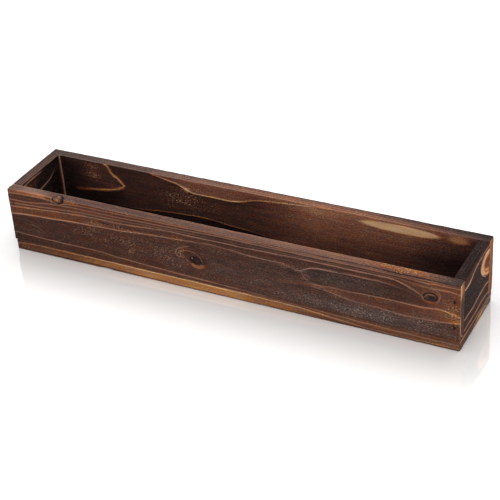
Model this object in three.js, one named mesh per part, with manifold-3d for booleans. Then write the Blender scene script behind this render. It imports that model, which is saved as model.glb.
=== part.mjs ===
// Window box planter: five scorched softwood boards, butt-jointed and held by brads.
// Millimetres. +X runs along the box, +Y from its front to its back, +Z up.
// The origin is the middle of the footprint, on the surface that the box stands on.
//
// The front and back boards run the full length and close over the two end boards.
// All four stand on the bottom board, so the planting trough is open only at the top.

import * as THREE from "three";
import { RoundedBoxGeometry } from "three/addons/geometries/RoundedBoxGeometry.js";
import { mergeVertices } from "three/addons/utils/BufferGeometryUtils.js";
import Module from "manifold-3d";

// Overall box
const BOX_LENGTH = 610;
const BOX_WIDTH = 114;
const BOX_HEIGHT = 90;

// Boards
const SIDE_THICKNESS = 14; // front and back boards
const END_THICKNESS = 14;
const BOTTOM_THICKNESS = 14;
const ARRIS_RADIUS = 0.8; // every board edge is brushed round after scorching
const BOTTOM_SHORT_LEFT = 2; // the bottom board is cut short of the left end
const BOTTOM_SHORT_BACK = 2; // and is narrower than the box at the back

// Drainage holes, in one row along the middle of the bottom board
const DRAIN_DIAMETER = 10;
const DRAIN_COUNT = 4;
const DRAIN_END_MARGIN = 95; // outer end of the box to the first hole

// Brads: lengths of flat wire with a T head and a chisel point
const BRAD_LENGTH = 30; // over the head and the point
const BRAD_WIRE_WIDTH = 1.25;
const BRAD_WIRE_THICKNESS = 1;
const BRAD_HEAD_WIDTH = 2.1;
const BRAD_HEAD_DEPTH = 1.2;
const BRAD_POINT_LENGTH = 2.2;
const BRAD_POINT_WIDTH = 0.3;
const BRAD_SET = 1.5; // how far the head is driven below the surface
const BRAD_CLEARANCE = 0.25; // wood pushed back all round the wire and the head

// Corner brads, through the front and back boards into the ends of the end boards
const LEFT_CORNER_BRAD_FROM_TOP = 19.5;
const LEFT_CORNER_BRAD_ABOVE_BOTTOM_BOARD = 8.5;
const RIGHT_CORNER_BRAD_FROM_TOP = 23;
const RIGHT_CORNER_BRAD_ABOVE_BOTTOM_BOARD = 19;

// Bottom brads, up through the bottom board into the four walls
const LONG_ROW_COUNT = 4; // under the front board, and again under the back board
const LONG_ROW_END_MARGIN = 65;
const END_ROW_SPACING = 36; // the two brads under each end board

// Facets
const ARRIS_SEGMENTS = 2;
const DRAIN_SEGMENTS = 32;

const OVERCUT = 1; // how far a cutter runs past the face that it opens

const wasm = await Module();
wasm.setup();

function toSolid(geometry) {
  const bare = geometry.clone();
  bare.deleteAttribute("normal");
  bare.deleteAttribute("uv");
  const merged = mergeVertices(bare);
  return new wasm.Manifold(new wasm.Mesh({
    numProp: 3,
    vertProperties: new Float32Array(merged.attributes.position.array),
    triVerts: new Uint32Array(merged.index.array),
  }));
}

function toGeometry(solid) {
  const { vertProperties, triVerts } = solid.getMesh();
  const geometry = new THREE.BufferGeometry();
  geometry.setAttribute("position", new THREE.BufferAttribute(vertProperties, 3));
  geometry.setIndex(new THREE.BufferAttribute(triVerts, 1));
  geometry.computeVertexNormals();
  return geometry;
}

function extrudeCentred(outline, thickness) {
  const geometry = new THREE.ExtrudeGeometry(outline, { depth: thickness, bevelEnabled: false });
  return geometry.translate(0, 0, -thickness / 2);
}

// ---------------------------------------------------------------- brads
// A brad's own frame: the origin is where it enters the wood, +Y is the way it is driven,
// +X is the width of its head, and Z is the thickness of the wire.

const headTop = BRAD_SET;
const headUnderside = BRAD_SET + BRAD_HEAD_DEPTH;
const pointTip = BRAD_SET + BRAD_LENGTH;

// Half of the outline, from the head to the point, mirrored about the driving axis
function outlineFromHalf(half) {
  const mirrored = half.map(([x, y]) => [-x, y]).reverse();
  return new THREE.Shape([...half, ...mirrored].map(([x, y]) => new THREE.Vector2(x, y)));
}

function bradGeometry() {
  const outline = outlineFromHalf([
    [BRAD_HEAD_WIDTH / 2, headTop],
    [BRAD_HEAD_WIDTH / 2, headUnderside],
    [BRAD_WIRE_WIDTH / 2, headUnderside],
    [BRAD_WIRE_WIDTH / 2, pointTip - BRAD_POINT_LENGTH],
    [BRAD_POINT_WIDTH / 2, pointTip],
  ]);
  return extrudeCentred(outline, BRAD_WIRE_THICKNESS);
}

// The hole that a brad leaves: open at the surface, with a shoulder that its head seats on
function bradHoleGeometry() {
  const outline = outlineFromHalf([
    [BRAD_HEAD_WIDTH / 2 + BRAD_CLEARANCE, -OVERCUT],
    [BRAD_HEAD_WIDTH / 2 + BRAD_CLEARANCE, headUnderside],
    [BRAD_WIRE_WIDTH / 2 + BRAD_CLEARANCE, headUnderside],
    [BRAD_WIRE_WIDTH / 2 + BRAD_CLEARANCE, pointTip + BRAD_CLEARANCE],
  ]);
  return extrudeCentred(outline, BRAD_WIRE_THICKNESS + 2 * BRAD_CLEARANCE);
}

const X = new THREE.Vector3(1, 0, 0);
const Y = new THREE.Vector3(0, 1, 0);
const Z = new THREE.Vector3(0, 0, 1);

function cornerBrads() {
  const lowest = BOTTOM_THICKNESS;
  const levels = {
    left: {
      upper: BOX_HEIGHT - LEFT_CORNER_BRAD_FROM_TOP,
      lower: lowest + LEFT_CORNER_BRAD_ABOVE_BOTTOM_BOARD,
    },
    right: {
      upper: BOX_HEIGHT - RIGHT_CORNER_BRAD_FROM_TOP,
      lower: lowest + RIGHT_CORNER_BRAD_ABOVE_BOTTOM_BOARD,
    },
  };
  const middleOfEndBoard = BOX_LENGTH / 2 - END_THICKNESS / 2;
  const places = [];
  for (const [side, ySign] of [["front", -1], ["back", 1]]) {
    for (const [end, xSign] of [["left", -1], ["right", 1]]) {
      for (const level of ["upper", "lower"]) {
        places.push({
          name: `corner_brad_${side}_${end}_${level}`,
          entry: new THREE.Vector3(xSign * middleOfEndBoard, ySign * BOX_WIDTH / 2, levels[end][level]),
          drive: Y.clone().multiplyScalar(-ySign),
          across: Z,
        });
      }
    }
  }
  return places;
}

function bottomBrads() {
  const places = [];
  const middleOfSideBoard = BOX_WIDTH / 2 - SIDE_THICKNESS / 2;
  const middleOfEndBoard = BOX_LENGTH / 2 - END_THICKNESS / 2;
  const rowStart = -BOX_LENGTH / 2 + LONG_ROW_END_MARGIN;
  const rowPitch = (BOX_LENGTH - 2 * LONG_ROW_END_MARGIN) / (LONG_ROW_COUNT - 1);
  for (const [side, ySign] of [["front", -1], ["back", 1]]) {
    for (let i = 0; i < LONG_ROW_COUNT; i += 1) {
      places.push({
        name: `bottom_brad_${side}_${i + 1}`,
        entry: new THREE.Vector3(rowStart + i * rowPitch, ySign * middleOfSideBoard, 0),
        drive: Z,
        across: X,
      });
    }
  }
  for (const [end, xSign] of [["left", -1], ["right", 1]]) {
    for (const [i, ySign] of [[1, -1], [2, 1]]) {
      places.push({
        name: `bottom_brad_${end}_${i}`,
        entry: new THREE.Vector3(xSign * middleOfEndBoard, ySign * END_ROW_SPACING / 2, 0),
        drive: Z,
        across: Y,
      });
    }
  }
  return places;
}

function bradTurn({ drive, across }) {
  return new THREE.Matrix4().makeBasis(across, drive, across.clone().cross(drive));
}

const bradPlaces = [...cornerBrads(), ...bottomBrads()];

// All the brad holes as one cutter, in the box's frame
function bradHoles() {
  const holes = bradPlaces.map((place) => {
    const matrix = bradTurn(place).setPosition(place.entry);
    return toSolid(bradHoleGeometry().applyMatrix4(matrix));
  });
  return holes.reduce((all, hole) => all.add(hole));
}

function drainHoles() {
  const depth = BOTTOM_THICKNESS + 2 * OVERCUT;
  const start = -BOX_LENGTH / 2 + DRAIN_END_MARGIN;
  const pitch = (BOX_LENGTH - 2 * DRAIN_END_MARGIN) / (DRAIN_COUNT - 1);
  let all = null;
  for (let i = 0; i < DRAIN_COUNT; i += 1) {
    const bore = new THREE.CylinderGeometry(DRAIN_DIAMETER / 2, DRAIN_DIAMETER / 2, depth, DRAIN_SEGMENTS);
    bore.rotateX(Math.PI / 2).translate(start + i * pitch, 0, BOTTOM_THICKNESS / 2);
    const hole = toSolid(bore);
    all = all ? all.add(hole) : hole;
  }
  return all;
}

// ---------------------------------------------------------------- boards

const box = new THREE.Group();

function addBoard(name, { from, to, cutters, colour, roughness }) {
  const size = to.clone().sub(from);
  const centre = from.clone().add(to).multiplyScalar(0.5);
  const blank = new RoundedBoxGeometry(size.x, size.y, size.z, ARRIS_SEGMENTS, ARRIS_RADIUS);
  const solid = cutters.reduce(
    (wood, cutter) => wood.subtract(cutter.translate([-centre.x, -centre.y, -centre.z])),
    toSolid(blank),
  );
  const material = new THREE.MeshStandardMaterial({ color: colour, roughness, metalness: 0 });
  const board = new THREE.Mesh(toGeometry(solid), material);
  board.name = name;
  board.position.copy(centre);
  box.add(board);
}

const halfLength = BOX_LENGTH / 2;
const halfWidth = BOX_WIDTH / 2;
const insideHalfWidth = halfWidth - SIDE_THICKNESS;
const brads = bradHoles();

addBoard("bottom_board", {
  from: new THREE.Vector3(-halfLength + BOTTOM_SHORT_LEFT, -halfWidth, 0),
  to: new THREE.Vector3(halfLength, halfWidth - BOTTOM_SHORT_BACK, BOTTOM_THICKNESS),
  cutters: [brads, drainHoles()],
  colour: 0x7a5637,
  roughness: 0.72,
});

addBoard("front_board", {
  from: new THREE.Vector3(-halfLength, -halfWidth, BOTTOM_THICKNESS),
  to: new THREE.Vector3(halfLength, -insideHalfWidth, BOX_HEIGHT),
  cutters: [brads],
  colour: 0x4b3d36,
  roughness: 0.78,
});

addBoard("back_board", {
  from: new THREE.Vector3(-halfLength, insideHalfWidth, BOTTOM_THICKNESS),
  to: new THREE.Vector3(halfLength, halfWidth, BOX_HEIGHT),
  cutters: [brads],
  colour: 0x4a382c,
  roughness: 0.78,
});

addBoard("left_end_board", {
  from: new THREE.Vector3(-halfLength, -insideHalfWidth, BOTTOM_THICKNESS),
  to: new THREE.Vector3(-halfLength + END_THICKNESS, insideHalfWidth, BOX_HEIGHT),
  cutters: [brads],
  colour: 0x3b2f2a,
  roughness: 0.82,
});

addBoard("right_end_board", {
  from: new THREE.Vector3(halfLength - END_THICKNESS, -insideHalfWidth, BOTTOM_THICKNESS),
  to: new THREE.Vector3(halfLength, insideHalfWidth, BOX_HEIGHT),
  cutters: [brads],
  colour: 0x3a3330,
  roughness: 0.82,
});

for (const place of bradPlaces) {
  const steel = new THREE.MeshStandardMaterial({ color: 0x8f9193, roughness: 0.38, metalness: 1 });
  const brad = new THREE.Mesh(bradGeometry(), steel);
  brad.name = place.name;
  brad.quaternion.setFromRotationMatrix(bradTurn(place));
  brad.position.copy(place.entry);
  box.add(brad);
}

export default box;
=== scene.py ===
# %% [markdown]
# # A scorched softwood window box
#
# The real box is nailed together from five thin fir boards. Each board is passed under a gas torch,
# which chars the soft spring wood and leaves the hard summer lines, and is then scrubbed with a wire
# brush. So there are two things to teach here: how to turn a plain board into real, slightly worn
# geometry, and how to lay out the grain so that fine light lines, charred bands and knots run
# where they do on the real board.
#
# The frame comes first. It holds the measured pieces in metres, and nothing in it is moved.

# %% Load the frame
import math
from functools import partial

import bmesh
import bpy
import numpy as np
from mathutils import Matrix, Vector


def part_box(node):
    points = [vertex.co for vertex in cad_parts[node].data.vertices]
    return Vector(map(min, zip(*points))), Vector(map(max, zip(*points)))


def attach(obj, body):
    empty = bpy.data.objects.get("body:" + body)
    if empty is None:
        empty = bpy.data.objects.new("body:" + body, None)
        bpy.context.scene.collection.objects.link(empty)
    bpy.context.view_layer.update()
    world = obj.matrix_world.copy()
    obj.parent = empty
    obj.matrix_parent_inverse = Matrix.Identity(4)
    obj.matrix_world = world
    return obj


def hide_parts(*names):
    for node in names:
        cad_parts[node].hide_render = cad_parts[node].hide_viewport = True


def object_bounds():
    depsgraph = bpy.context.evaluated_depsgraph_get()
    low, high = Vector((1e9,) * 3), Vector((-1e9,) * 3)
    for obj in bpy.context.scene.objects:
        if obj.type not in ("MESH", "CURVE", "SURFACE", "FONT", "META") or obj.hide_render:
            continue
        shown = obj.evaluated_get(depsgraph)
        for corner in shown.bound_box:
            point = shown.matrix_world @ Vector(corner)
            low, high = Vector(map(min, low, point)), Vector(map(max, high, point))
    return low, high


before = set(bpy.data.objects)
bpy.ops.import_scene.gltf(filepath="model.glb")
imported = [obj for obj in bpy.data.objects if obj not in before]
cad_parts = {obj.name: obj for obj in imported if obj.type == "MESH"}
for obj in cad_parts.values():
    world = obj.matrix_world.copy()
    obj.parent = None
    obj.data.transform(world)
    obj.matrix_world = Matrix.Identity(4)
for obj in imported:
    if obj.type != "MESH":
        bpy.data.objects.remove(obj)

MM = 0.001  # the boards are worked in millimetres and written in metres
cad_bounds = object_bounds()
print("frame box, m:", [[round(value, 4) for value in corner] for corner in cad_bounds])

# %% [markdown]
# ## The camera
#
# A long lens from well above the front right corner gives the gentle perspective of a shop picture. The
# direction is kept as three angles, because a learner can read them: how far round, how far up, and how
# much the picture leans.

# %% Camera
CAMERA_PLACE = Vector((0.7287, -1.3084, 0.9851))
CAMERA_AZIMUTH = math.radians(-28.73)  # turned left of straight at the front
CAMERA_ELEVATION = math.radians(32.46)
CAMERA_ROLL = math.radians(-4.04)
CAMERA_LENS = 102.8  # mm
CAMERA_SENSOR = 36.0  # mm, square


def camera_turn(azimuth, elevation, roll):
    """The camera's rotation: it looks down along its own -Z."""
    flat = math.cos(elevation)
    ahead = Vector((math.sin(azimuth) * flat, math.cos(azimuth) * flat, -math.sin(elevation)))
    level = Vector((math.cos(azimuth), -math.sin(azimuth), 0))
    upright = level.cross(ahead)
    right = level * math.cos(roll) + upright * math.sin(roll)
    return Matrix((right, right.cross(ahead), -ahead)).transposed()


camera = bpy.data.objects.new("camera", bpy.data.cameras.new("camera"))
camera.data.lens = CAMERA_LENS
camera.data.sensor_width = CAMERA_SENSOR
turn = camera_turn(CAMERA_AZIMUTH, CAMERA_ELEVATION, CAMERA_ROLL)
camera.matrix_world = Matrix.Translation(CAMERA_PLACE) @ turn.to_4x4()
bpy.context.scene.collection.objects.link(camera)
bpy.context.scene.camera = camera
print("camera is", round(CAMERA_PLACE.length, 2), "m from the box")

# %% [markdown]
# ## Helpers for every material
#
# Colours are written as the hex values that a paint chart shows, so one function turns them into the
# linear light that the shader works in. One more function adds a node of any kind with its settings
# and its links in one line. It leaves the inputs to a third, which can also fill those of a node that
# is there already, such as the surface.

# %% Colour and node helpers
def linear(hex_colour):
    """A hex colour as linear red, green and blue, with an alpha of one."""
    channels = [int(hex_colour[i:i + 2], 16) / 255 for i in (1, 3, 5)]
    return (*[c / 12.92 if c <= 0.04045 else ((c + 0.055) / 1.055) ** 2.4 for c in channels], 1)


def fill(tree, node, sockets):
    """Fills a node's inputs, with values, other nodes' outputs, or nodes, for their first output."""
    for socket, value in sockets.items():
        if isinstance(value, bpy.types.Node):
            value = value.outputs[0]
        if isinstance(value, bpy.types.NodeSocket):
            tree.links.new(value, node.inputs[socket])
        else:
            node.inputs[socket].default_value = value


def add(tree, kind, sockets=(), operation=None, stops=(), **settings):
    """Adds a node. sockets is a list in the inputs' order, or a dictionary. stops fill a colour ramp."""
    node = tree.nodes.new("ShaderNode" + kind)
    if operation:
        node.operation = operation
    for setting, value in settings.items():
        setattr(node, setting, value)
    fill(tree, node, sockets if isinstance(sockets, dict) else dict(enumerate(sockets)))
    for i, (place, colour) in enumerate(stops):
        ramp = node.color_ramp.elements
        stop = ramp[i] if i < 2 else ramp.new(place)
        stop.position = place
        stop.color = linear(colour)
    return node


def empty_material(name):
    """A material, one function that adds nodes to it, one that fills their inputs, and its surface node."""
    material = bpy.data.materials.new(name)
    material.use_nodes = True
    tree = material.node_tree
    return material, partial(add, tree), partial(fill, tree), tree.nodes["Principled BSDF"]


print("orange brown in linear light:", [round(c, 3) for c in linear("#8a532c")])

# %% [markdown]
# ## Floor and light
#
# The box stands on a glossy white sweep. The shine is strongest right beside the box and dies away
# with distance, which is how a lightly polished acrylic sheet looks under a big soft lamp. One wide
# lamp hangs over the box and slightly behind it, so that the top edges catch a grey sheen, and a
# weaker one fills the front.

# %% The sheet's material
SHINE_NEAR = 0.36  # the mirrored share of the light beside the box
SHINE_REACH = 0.17  # m from the box's walls to where the shine has gone
SHINE_ROUGHNESS = 0.07
SHEET_ROUGHNESS = 0.9
SMOOTH = {"interpolation_type": "SMOOTHSTEP"}

low_corner, high_corner = [Vector(corner) for corner in cad_bounds]
half_box = (high_corner - low_corner) / 2

sheet, new, fill_inputs, surface = empty_material("polished white acrylic sheet")
from_middle = new("VectorMath", [new("TexCoord").outputs["Object"]], "ABSOLUTE")
outside = new("VectorMath", [from_middle, (half_box.x, half_box.y, 0)], "SUBTRACT")
outside = new("VectorMath", [outside, (0, 0, 0)], "MAXIMUM")
distance = new("VectorMath", [outside], "LENGTH").outputs["Value"]
shine = new("MapRange", [distance, 0, SHINE_REACH, SHINE_NEAR, 0], **SMOOTH)
fill_inputs(surface, {"Base Color": linear("#f4f3f2"), "Roughness": SHEET_ROUGHNESS, "Specular IOR Level": 0})
gloss = new("BsdfGlossy", {"Color": (1, 1, 1, 1), "Roughness": SHINE_ROUGHNESS})
fill_inputs(sheet.node_tree.nodes["Material Output"], {"Surface": new("MixShader", [shine, surface, gloss])})
print("the shine reaches", SHINE_REACH, "m")

# %% Floor
FLOOR_SIZE = 8.0  # m
FLOOR_GAP = 0.0001  # m of air, so that the floor and the underside never share a plane


def object_from(bm, name):
    """Turns a finished bmesh into an object of the scene."""
    mesh = bpy.data.meshes.new(name)
    bm.to_mesh(mesh)
    bm.free()
    made = bpy.data.objects.new(name, mesh)
    bpy.context.scene.collection.objects.link(made)
    return made


bm = bmesh.new()
bmesh.ops.create_grid(bm, x_segments=1, y_segments=1, size=FLOOR_SIZE / 2)
floor = object_from(bm, "floor")
floor.location.z = -FLOOR_GAP
floor.data.materials.append(sheet)
print("floor, m:", FLOOR_SIZE)

# %% Lights
WORLD_STRENGTH = 0.72

bpy.context.scene.view_settings.view_transform = "Standard"
world = bpy.data.worlds.new("white studio")
bpy.context.scene.world = world
world.use_nodes = True
background = world.node_tree.nodes["Background"]
fill(world.node_tree, background, {"Color": linear("#ffffff"), "Strength": WORLD_STRENGTH})


def soft_lamp(name, place, aim, size, power):
    """A square lamp at place, turned towards aim."""
    lamp = bpy.data.lights.new(name, "AREA")
    lamp.size = size
    lamp.energy = power
    holder = bpy.data.objects.new(name, lamp)
    turn = (Vector(aim) - Vector(place)).to_track_quat("-Z", "Y")
    holder.matrix_world = Matrix.LocRotScale(Vector(place), turn, None)
    bpy.context.scene.collection.objects.link(holder)
    print(name, "lamp,", power, "W over", size, "m")


soft_lamp("overhead", place=(-0.1, 0.45, 1.9), aim=(0, 0, 0), size=1.6, power=24)
soft_lamp("front", place=(0.4, -1.2, 1.9), aim=(0, 0, 0.05), size=1.3, power=20)

# %% [markdown]
# ## Noise for the wood
#
# Wood is never even, so everything below is disturbed a little by smooth random numbers. The lattice of
# random numbers is seeded, so every run gives the same boards.

# %% Smooth random numbers
LATTICE = 256  # points along each side of the lattice, before it repeats


def eased(u):
    """Turns an even run from 0 to 1 into one that starts and ends gently."""
    return u * u * (3 - 2 * u)


def unevenness(along, across, seed):
    """Smooth random numbers from -1 to 1. One unit of along or across is one lump."""
    lattice = np.random.default_rng(seed).uniform(-1, 1, (LATTICE, LATTICE))
    column, row = np.floor(along).astype(int), np.floor(across).astype(int)
    u, v = eased(along - column), eased(across - row)
    near, far = [
        lattice[column % LATTICE, i % LATTICE] * (1 - u) + lattice[(column + 1) % LATTICE, i % LATTICE] * u
        for i in (row, row + 1)
    ]
    return near * (1 - v) + far * v


def layered(layers, along, across, seed, start=0):
    """Start with several layers of unevenness added, each (how much, length along, length across) in mm."""
    return sum((
        amount * unevenness(along / length, across / width, seed + i)
        for i, (amount, length, width) in enumerate(layers)
    ), start)


trial = unevenness(np.linspace(0, 40, 400), np.zeros(400), 1)
print("unevenness runs from", round(trial.min(), 2), "to", round(trial.max(), 2))

# %% [markdown]
# ## How a face of a board is described
#
# A sawyer would draw the face of a board as a stack of summer lines, one above the other, with knots that
# push them apart. So a face here is a list of grain lines from its lower edge to its upper edge. Each line is
# a few points: where it is along the board, where it is across it, how brightly it shows, and
# how scorched the wood is just above it and just below it. Scorch runs from 0, black char, to 1, bare pale
# wood. Between two lines the scorch changes evenly, which gives the hard-edged bands of torched fir. A jump
# at a line would look jagged if it were stored at the corners of a mesh, so the smooth part and the size of
# the jump are stored, and the shader adds them up.

# %% Smooth curves through given points
def run_through(points, column, along):
    """A smooth run through given points, which never swings past them."""
    table = np.array(points, float)
    places, values = table[:, 0], table[:, column]
    slopes = np.diff(values) / np.diff(places)
    product, total = slopes[:-1] * slopes[1:], slopes[:-1] + slopes[1:]
    inner = np.where(product > 0, 2 * product / np.where(product > 0, total, 1), 0)
    tangents = np.concatenate([slopes[:1], inner, slopes[-1:]])
    i = np.clip(np.searchsorted(places, along) - 1, 0, len(slopes) - 1)
    gap = places[i + 1] - places[i]
    u = np.clip((along - places[i]) / gap, 0, 1)
    start = (1 + 2 * u) * (1 - u) ** 2 * values[i] + u * (1 - u) ** 2 * gap * tangents[i]
    return start + eased(u) * values[i + 1] + u * u * (u - 1) * gap * tangents[i + 1]


def line_slopes(lines, along, band):
    """How steeply the line below each point climbs, so that a steep line isn't drawn thin."""
    climbs = [run_through(line, 1, along + 1) - run_through(line, 1, along - 1) for line in lines]
    slopes = np.array(climbs) / 2
    return slopes[np.clip(band - 1, 0, len(lines) - 1), np.arange(len(along))]


halfway = run_through([(0, 10), (50, 20), (100, 20)], 1, np.array([25.0]))[0]
print("a line from 10 mm up to 20 mm is at", round(float(halfway), 2), "mm halfway")

# %% [markdown]
# ## Strokes, patches, islands, lumps and knots
#
# Some rings curl back on themselves, and those are strokes of their own. Patches are soft spots that add bare
# wood, ash, flecks or fine arcs, and a few dark ones are painted shade in the nail holes and in the back's
# inside corner. Islands are lenses with a crisp edge, and the small pale grey ones on the crest of the proud
# knot and in the resin pit are painted highlights. Lumps rise out of the board or sink into it, and knots
# have a ring of charred bark.

# %% Spots and strokes
STROKE_STEP = 1.2  # mm between the places at which a stroke is measured
STROKE_REACH = 2.6  # mm from a stroke to where it isn't noticed
STROKE_SEARCH = 3  # reaches, past which no point is compared with a stroke
NO_STROKE = 9.0  # mm, the distance of a point that no stroke is near


def inside_ellipse(along, across, spot):
    """Distance from an ellipse's middle, in its radii. spot is (along, across, radius, radius, tilt)."""
    tilt = math.radians(spot[4])
    x, y = along - spot[0], across - spot[1]
    u = (x * math.cos(tilt) + y * math.sin(tilt)) / spot[2]
    v = (y * math.cos(tilt) - x * math.sin(tilt)) / spot[3]
    return np.hypot(u, v)


def walk(points):
    """Evenly spaced places along a smooth curve through the points, and the direction at each."""
    corners = np.array(points, float)
    travelled = np.concatenate([[0], np.cumsum(np.hypot(*np.diff(corners, axis=0).T))])
    steps = np.arange(0, travelled[-1], STROKE_STEP)
    table = np.column_stack([travelled, corners])
    places = np.column_stack([run_through(table, 1, steps), run_through(table, 2, steps)])
    ways = np.gradient(places, axis=0)
    return places, ways / np.hypot(*ways.T)[:, None]


def read_strokes(strokes, along, across):
    """For each point, how far to the side of its nearest stroke it is, and how bright and wide that is."""
    mark = np.zeros((len(along), 3))
    mark[:, 2] = 1
    nearest = np.full(len(along), NO_STROKE)
    for brightness, width, points in strokes:
        places, ways = walk(points)
        spread = STROKE_REACH + width
        low = places.min(axis=0) - STROKE_SEARCH * spread
        high = places.max(axis=0) + STROKE_SEARCH * spread
        inside = (along > low[0]) & (along < high[0]) & (across > low[1]) & (across < high[1])
        close = np.flatnonzero(inside)
        if not len(close):
            continue
        gap_along = along[close, None] - places[None, :, 0]
        gap_across = across[close, None] - places[None, :, 1]
        distance = np.hypot(gap_along, gap_across)
        best = distance.argmin(axis=1)
        every = np.arange(len(close))
        side = ways[best, 0] * gap_across[every, best] - ways[best, 1] * gap_along[every, best]
        near = distance[every, best]
        wins = near - width < nearest[close]
        chosen = close[wins]
        nearest[chosen] = (near - width)[wins]
        mark[chosen, 0] = side[wins]
        mark[chosen, 1] = brightness * np.exp(-(near[wins] / spread) ** 2)
        mark[chosen, 2] = width
    return mark


print("a stroke 30 mm long is measured at", len(walk([(0, 0), (30, 0)])[0]), "places")

# %% Reading a whole face
EDGE_SPARE = 4.0  # mm past the face's own edges, where its outermost bands end
LEAST_BAND = 0.01  # mm between two lines that would cross
WAVERS = ((0.45, 45, 25), (0.22, 11, 9))  # mm by which a line wanders, over how many mm along and across
RING_FLOW = 0.65  # how closely the streaks follow the rings, where 0 follows the board's edge
KNOT_REACH = 4.0  # knot radii, past which a knot isn't noticed
LUMP_SHOULDER = 0.9  # of its radius, where a lump's side is steep
ISLAND_CALM = 0.9  # share of the flecks that an island hides


def read_face(face, along, across):
    """What the face is like at each point, as one array for each quality."""
    seed, lines = face["seed"], face["lines"]
    t = across + layered(WAVERS, along, across, seed)
    low, high = face["edges"]
    heights = [np.full_like(t, low - EDGE_SPARE)]
    heights += [run_through(line, 1, along) for line in lines]
    heights += [np.full_like(t, high + EDGE_SPARE)]
    heights = np.maximum.accumulate(np.array(heights), axis=0)
    heights += LEAST_BAND * np.arange(len(lines) + 2)[:, None]
    band = np.clip((t[None] >= heights).sum(axis=0) - 1, 0, len(lines))
    every = np.arange(len(t))
    bottom, top = heights[band, every], heights[band + 1, every]
    share = np.clip((t - bottom) / (top - bottom), 0, 1)

    def column(index, ends):
        runs = np.array([np.interp(along, *np.array(line, float)[:, [0, index]].T) for line in lines])
        return np.vstack([runs[:1] * ends, runs, runs[-1:] * ends])

    def across_band(over_line, under_line):
        return over_line[band, every] * (1 - share) + under_line[band + 1, every] * share

    glow, above, below = column(2, 0), column(3, 1), column(4, 1)
    above[0], below[-1] = below[1], above[-2]
    jumps = above - below
    jumps[[0, -1]] = 0
    jump = across_band(jumps, jumps)
    reading = {
        "level": band + share,
        "width": (top - bottom) / np.sqrt(1 + line_slopes(lines, along, band) ** 2),
        "glow": across_band(glow, glow),
        "scorch": across_band(above, below) - jump * (0.5 - share),
        "jump": jump,
        "flow": across * (1 - RING_FLOW) + RING_FLOW * (band + share) * (high - low) / (len(lines) + 1),
        "ash": np.full_like(t, face["ash"]),
        "fleck": np.full_like(t, face["fleck"]),
        "arc": np.zeros_like(t),
        "knot": np.full_like(t, KNOT_REACH),
        "proud": np.zeros_like(t),
        "mark": read_strokes(face["strokes"], along, t),
    }
    for *ellipse, scorch, ash, fleck, arc in face["patches"]:
        strength = np.exp(-inside_ellipse(along, across, (*ellipse, 0)) ** 2)
        for quality, amount in zip(("scorch", "ash", "fleck", "arc"), (scorch, ash, fleck, arc)):
            reading[quality] += amount * strength
    for *ellipse, scorch, softness, ash in face["islands"]:
        cover = eased(np.clip((1 + softness / 2 - inside_ellipse(along, t, ellipse)) / softness, 0, 1))
        reading["scorch"] = reading["scorch"] * (1 - cover) + scorch * cover
        reading["ash"] = reading["ash"] * (1 - cover) + ash * cover
        reading["glow"] *= 1 - cover
        reading["jump"] *= 1 - cover
        reading["fleck"] *= 1 - ISLAND_CALM * cover
    for ellipse in face["knots"]:
        reading["knot"] = np.minimum(reading["knot"], inside_ellipse(along, across, ellipse))
    for *ellipse, height in face["lumps"]:
        reading["proud"] += height * np.exp(-(inside_ellipse(along, across, ellipse) / LUMP_SHOULDER) ** 4)
    return reading


def face_of(lines, edges, seed, ash=0.25, fleck=0.35, strokes=(), patches=(), islands=(), knots=(), lumps=()):
    """A face's description. edges are its lowest and highest place across the grain, in mm."""
    return dict(
        lines=lines, edges=edges, seed=seed, ash=ash, fleck=fleck, strokes=strokes, patches=patches,
        islands=islands, knots=knots, lumps=lumps,
    )


print("a plain face is described by", ", ".join(face_of([], (0, 14), 1)))

# %% [markdown]
# ## Faces that nobody planned
#
# The outside of the back, the inside of the front and the underside are ordinary flat-sawn fir. Their
# grain lines are drawn by a rule: a steady pitch, a slow wander that neighbours share, and a few
# lines that catch the light.

# %% Ordinary flat-sawn faces
STATION_GAP = 60  # mm between the points of a line
SHARED_WANDER = 1.5  # mm from one station to the next, for all the lines together
OWN_WANDER = 0.07  # of the pitch, for each line by itself
UNEVEN_PITCH = (0.35, 1.65)  # the narrowest and the widest gap, for a pitch of one
WARMER_BELOW = 0.08  # of scorch, which the wood just below a line has more than the wood above it
LINE_GLOW = 0.38
# How far a value strays from line to line, and from station to station
GLOW_SPREAD, ABOVE_SPREAD, BELOW_SPREAD = (0.16, 0.08), (0.09, 0.03), (0.12, 0.03)
BLACKEST = 0.03


def ordinary_face(seed, reach, edges, pitch=9.0, scorch=0.24, **details):
    """A face between reach[0] and reach[1] along the grain, with one grain line about every pitch mm."""
    chance = np.random.default_rng(seed)
    count = max(2, round((edges[1] - edges[0]) / pitch))
    stations = np.linspace(reach[0], reach[1], max(4, round((reach[1] - reach[0]) / STATION_GAP)))
    shared = np.cumsum(chance.normal(0, SHARED_WANDER, len(stations)))
    shared -= shared.mean()
    shares = np.cumsum(chance.uniform(*UNEVEN_PITCH, count + 1))

    def quality(middle, spread, least):
        """One value for the whole line, which flickers a little from station to station."""
        line, flicker = spread
        return np.clip(chance.normal(middle, line) + chance.normal(0, flicker, len(stations)), least, 1)

    lines = []
    for i in range(count):
        height = edges[0] + shares[i] / shares[-1] * (edges[1] - edges[0])
        height += shared + chance.normal(0, OWN_WANDER * pitch, len(stations))
        glow = quality(LINE_GLOW, GLOW_SPREAD, 0)
        above = quality(scorch, ABOVE_SPREAD, BLACKEST)
        below = quality(scorch + WARMER_BELOW, BELOW_SPREAD, BLACKEST)
        lines.append(list(zip(stations, height, glow, above, below)))
    return face_of(lines, edges, seed, **details)


print("lines on an ordinary 76 mm face:", len(ordinary_face(1, (-305, 305), (14, 90))["lines"]))

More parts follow.
